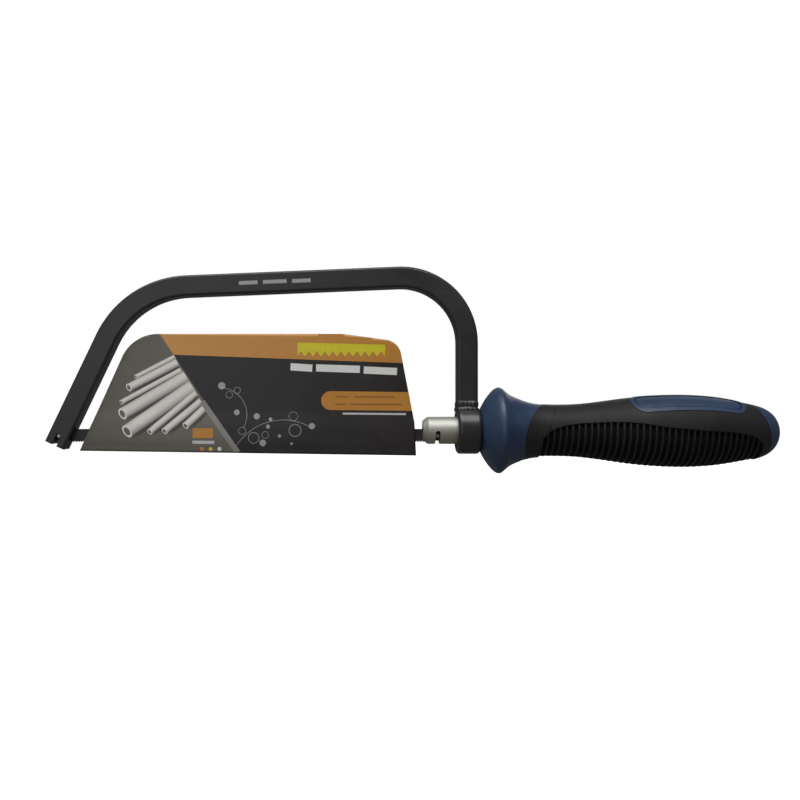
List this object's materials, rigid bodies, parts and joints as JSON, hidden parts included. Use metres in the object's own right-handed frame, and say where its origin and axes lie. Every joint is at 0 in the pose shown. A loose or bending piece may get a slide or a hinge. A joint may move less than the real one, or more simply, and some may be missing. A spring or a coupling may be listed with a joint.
{
  "type": "mini hacksaw",
  "caption": "Mini hacksaw: bent square-bar bow, pin-end blade in a card sleeve, and a guarded soft-grip handle that turns to tension the blade.",
  "frame": {"origin": "middle of the hand grip, on the axis that the handle and the tension stud share", "axes": "+X from the front of the saw to the butt of the handle, +Z from the blade to the bow, +Y across the saw; the blade's pin line is 2.1 mm below the axis"},
  "size_m": [0.2913, 0.0344, 0.0822],
  "materials": {
    "black_paint": "satin black paint",
    "blade_steel": "blued, dark",
    "pin_steel": "plain steel",
    "zinc_plate": "bright zinc plate, turned",
    "nut_brass": "machined",
    "blue_plastic": "semi-gloss dark blue moulding",
    "black_rubber": "satin black soft moulding",
    "printed_card": "coated printed card"
  },
  "bodies": {
    "frame": {"frame_bow": "black_paint", "eye_bush": "black_paint", "weld_bead": "black_paint", "thrust_washer": "zinc_plate"},
    "handle": {"handle_core": "blue_plastic", "grip_overmould": "black_rubber", "handle_nut": "nut_brass"},
    "stud": {"tension_stud": "zinc_plate", "index_pin": "pin_steel"},
    "blade": {"blade": "blade_steel", "front_blade_pin": "pin_steel", "rear_blade_pin": "pin_steel"},
    "sleeve": {"blade_sleeve": "printed_card"}
  },
  "joints": [
    {"name": "handle_turn", "type": "hinge", "parent": "frame", "child": "handle", "pos_m": [-0.0626, 0, 0], "axis": [1, 0, 0], "range_deg": [0, 900]},
    {"name": "stud_slide", "type": "slide", "parent": "frame", "child": "stud", "axis": [-1, 0, 0], "range_m": [0, 0.00252]},
    {"name": "blade_release", "type": "hinge", "parent": "stud", "child": "blade", "pos_m": [-0.0873, 0, -0.0021], "axis": [0, -1, 0], "range_deg": [0, 2.05]},
    {"name": "sleeve_slide", "type": "slide", "parent": "blade", "child": "sleeve", "axis": [0, 0, -1], "range_m": [0, 0.045]}
  ],
  "couplings": [
    {"joint": "stud_slide", "follows": "handle_turn", "m_per_rad": 0.00015915},
    {"joint": "blade_release", "follows": "handle_turn", "ratio": 0.0022146}
  ]
}
